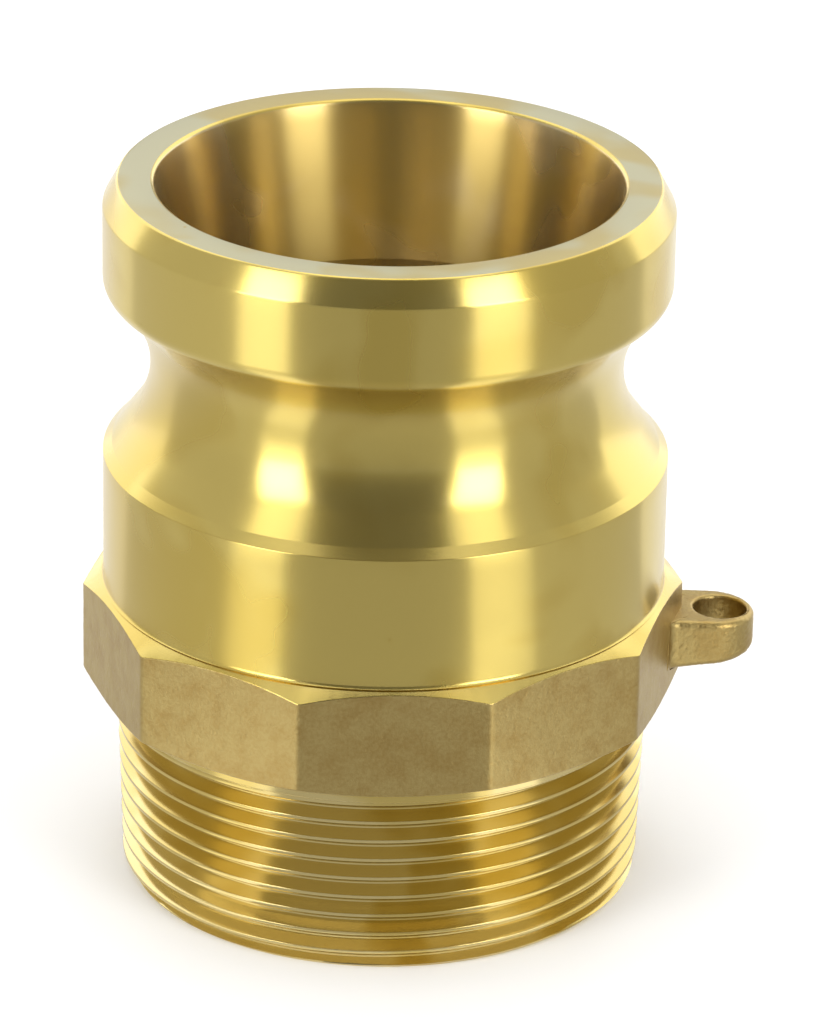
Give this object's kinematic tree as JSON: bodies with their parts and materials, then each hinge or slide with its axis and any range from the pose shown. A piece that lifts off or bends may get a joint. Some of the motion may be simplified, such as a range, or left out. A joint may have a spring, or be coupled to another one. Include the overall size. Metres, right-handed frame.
{
  "type": "cam and groove adapter",
  "caption": "Brass cam and groove adapter: chamfered nose ring, round cam groove, plain barrel, wrench collar with a chain eye, and a male taper pipe thread.",
  "frame": {"origin": "on the axis, in the plane of the threaded end's face", "axes": "+Z along the axis from the threaded end to the cam nose, +X out through the chain eye"},
  "size_m": [0.0759, 0.0644, 0.0822],
  "materials": {
    "turned_brass": "turned bright, fine lathe lines, faint tarnish",
    "cast_brass": "as cast, matt, fine sand grain"
  },
  "bodies": {
    "root": {"nose_ring": "turned_brass", "cam_groove": "turned_brass", "barrel": "turned_brass", "wrench_collar": "cast_brass", "chain_eye": "cast_brass", "thread_band": "turned_brass", "threaded_spigot": "turned_brass"}
  },
  "joints": []
}
